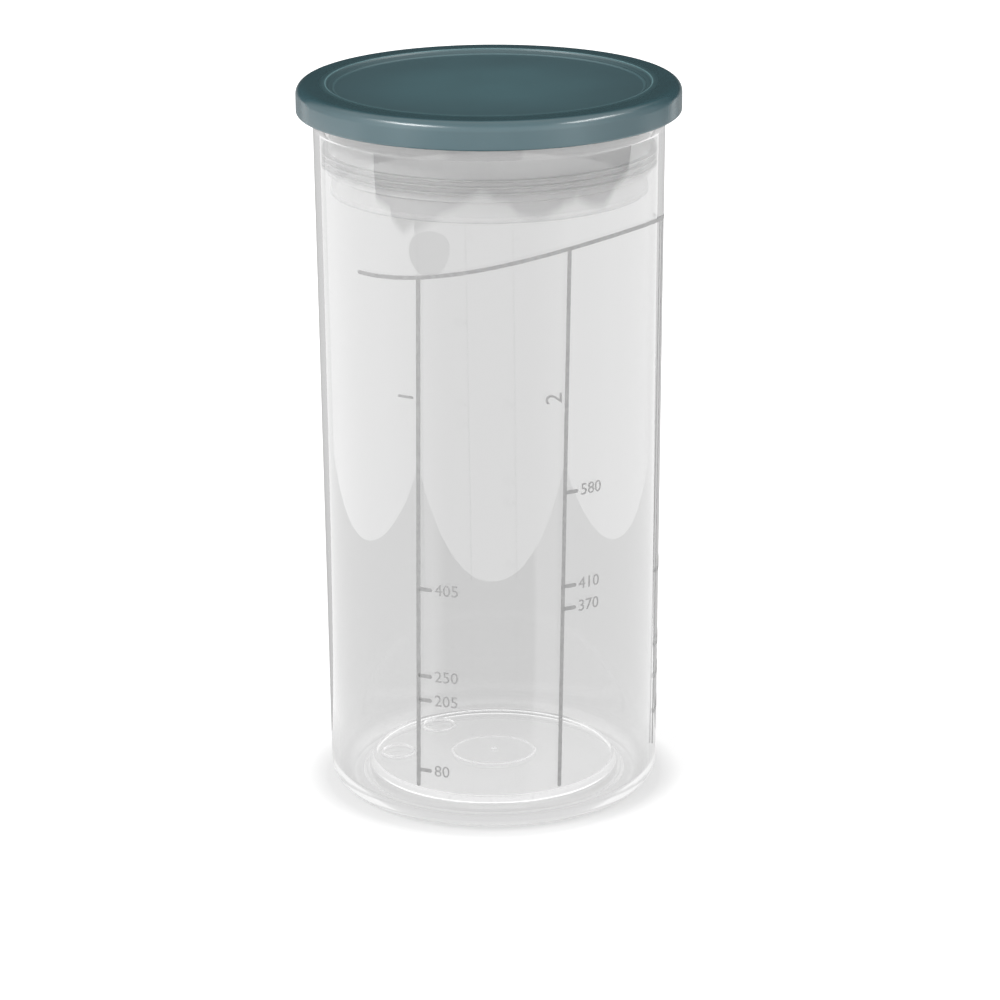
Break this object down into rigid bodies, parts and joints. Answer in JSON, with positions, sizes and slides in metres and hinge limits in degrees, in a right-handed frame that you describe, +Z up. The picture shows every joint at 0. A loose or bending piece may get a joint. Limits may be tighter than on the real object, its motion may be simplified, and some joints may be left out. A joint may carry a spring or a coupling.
{
  "type": "salad dressing shaker bottle",
  "caption": "Clear tapered beaker with a flared lip and a stepped foot, closed by a push-on cap with a recessed top and a soft lamella sealing insert.",
  "frame": {"origin": "centre of the beaker's foot, on the surface that it stands on", "axes": "+Z up along the axis of the beaker, towards the cap; -Y faces the camera, between the first and second printed columns"},
  "size_m": [0.1042, 0.1042, 0.2],
  "materials": {
    "clear_plastic": "crystal clear injection-moulded plastic, polished, with grey screen-printed lines and measuring marks",
    "cap_plastic": "satin moulded plastic, muted blue-green",
    "seal_elastomer": "soft translucent elastomer, slightly milky"
  },
  "bodies": {
    "bottle": {"beaker": "clear_plastic"},
    "lid": {"lid_cap": "cap_plastic", "sealing_insert": "seal_elastomer"}
  },
  "joints": [
    {"name": "lid_lift", "type": "slide", "parent": "bottle", "child": "lid", "axis": [0, 0, 1], "range_m": [0, 0.04]}
  ]
}
